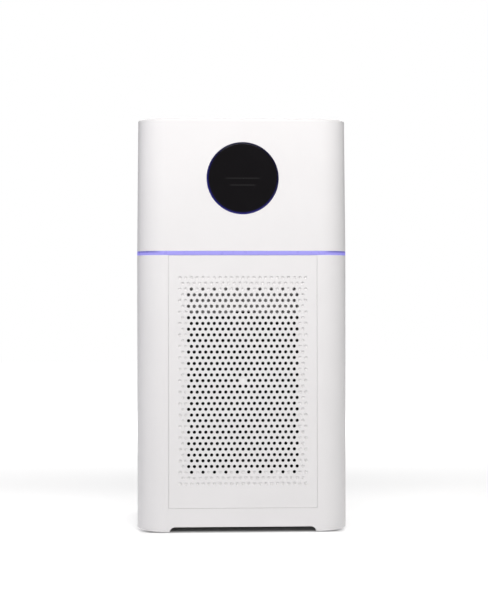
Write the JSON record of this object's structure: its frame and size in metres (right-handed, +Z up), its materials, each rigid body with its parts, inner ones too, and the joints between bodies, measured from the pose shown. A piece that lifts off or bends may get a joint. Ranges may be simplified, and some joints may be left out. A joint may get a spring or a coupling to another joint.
{
  "type": "air purifier",
  "caption": "Square white tower air purifier with rounded corners, a perforated pull-off front cover, a round black display, a ring of violet light and a louvred top outlet.",
  "frame": {"origin": "on the floor, under the middle of the column's square footprint", "axes": "+Z up, -Y towards the front cover and display, +X to the right as seen from the front"},
  "size_m": [0.27, 0.27, 0.53],
  "materials": {
    "white_shell": "fine satin texture",
    "white_inner": "satin",
    "grille_white": "satin",
    "rubber": "matte",
    "screw_steel": "zinc plated",
    "magnet": "nickel plated",
    "dark_plastic": "satin",
    "grey_plastic": "satin",
    "impeller_black": "satin",
    "motor_metal": "zinc plated",
    "light_strip": "translucent, lit",
    "led_tape": "printed tape",
    "black_glass": "polished",
    "display_light": "translucent, lit",
    "lamps": "small lamp packages",
    "circuit_board": "solder mask",
    "board_parts": "moulded",
    "pin_brass": "plated",
    "prefilter": "woven mesh",
    "carbon": "granular",
    "filter_paper": "fibrous",
    "foam": "foam",
    "pull_tab": "woven ribbon"
  },
  "bodies": {
    "housing": {"base_tray": "white_inner", "foot_front_left": "rubber", "foot_front_right": "rubber", "foot_rear_left": "rubber", "foot_rear_right": "rubber", "front_housing": "white_shell", "rear_housing": "white_shell", "filter_bay": "white_inner", "bay_screws": "screw_steel", "strike_plates": "screw_steel", "interlock_switch": "dark_plastic", "inlet_guard": "dark_plastic", "inlet_ring": "dark_plastic", "scroll_front": "grey_plastic", "scroll_rear": "grey_plastic", "scroll_screws": "screw_steel", "motor_mounts": "rubber", "motor_bracket": "motor_metal", "motor_body": "motor_metal", "motor_screws": "screw_steel", "air_duct": "grey_plastic", "duct_screws": "screw_steel", "top_grille": "grille_white", "middle_frame": "white_inner", "light_strip": "light_strip", "led_tape": "led_tape", "head_shell": "white_shell", "case_screws": "screw_steel", "grip_cup": "white_shell", "display_glass": "black_glass", "display_light_ring": "display_light", "display_holder": "dark_plastic", "display_board": "circuit_board", "display_lamps": "lamps", "short_screws": "screw_steel", "main_board": "circuit_board", "main_board_parts": "board_parts", "power_board": "circuit_board", "power_board_parts": "board_parts", "power_socket": "dark_plastic", "socket_pins": "pin_brass", "air_sensor": "dark_plastic", "board_screws": "screw_steel", "hinge_pin": "screw_steel"},
    "cover": {"front_cover": "white_shell", "cover_frame": "white_inner", "cover_magnets": "magnet"},
    "filter": {"filter_frame": "white_inner", "prefilter_mesh": "prefilter", "carbon_layer": "carbon", "hepa_media": "filter_paper", "filter_seal": "foam", "filter_pull_tab": "pull_tab"},
    "fan": {"impeller": "impeller_black", "motor_shaft": "screw_steel", "hub_nut": "screw_steel"},
    "plunger": {"switch_plunger": "dark_plastic"},
    "door": {"sensor_door": "white_shell"}
  },
  "joints": [
    {"name": "cover_pull", "type": "slide", "parent": "housing", "child": "cover", "axis": [0, -1, 0], "range_m": [0, 0.25]},
    {"name": "filter_pull", "type": "slide", "parent": "housing", "child": "filter", "axis": [0, -1, 0], "range_m": [0, 0.125]},
    {"name": "plunger_slide", "type": "slide", "parent": "housing", "child": "plunger", "axis": [0, -1, 0], "range_m": [0, 0.002]},
    {"name": "fan_spin", "type": "hinge", "parent": "housing", "child": "fan", "pos_m": [0, 0, 0.19], "axis": [0, 1, 0], "continuous": true},
    {"name": "sensor_door_hinge", "type": "hinge", "parent": "housing", "child": "door", "pos_m": [-0.075, 0.1326, 0.3104], "axis": [-1, 0, 0], "range_deg": [0, 95]}
  ],
  "couplings": [
    {"joint": "filter_pull", "follows": "cover_pull", "ratio": 0.5},
    {"joint": "plunger_slide", "follows": "cover_pull", "ratio": 0.008}
  ]
}
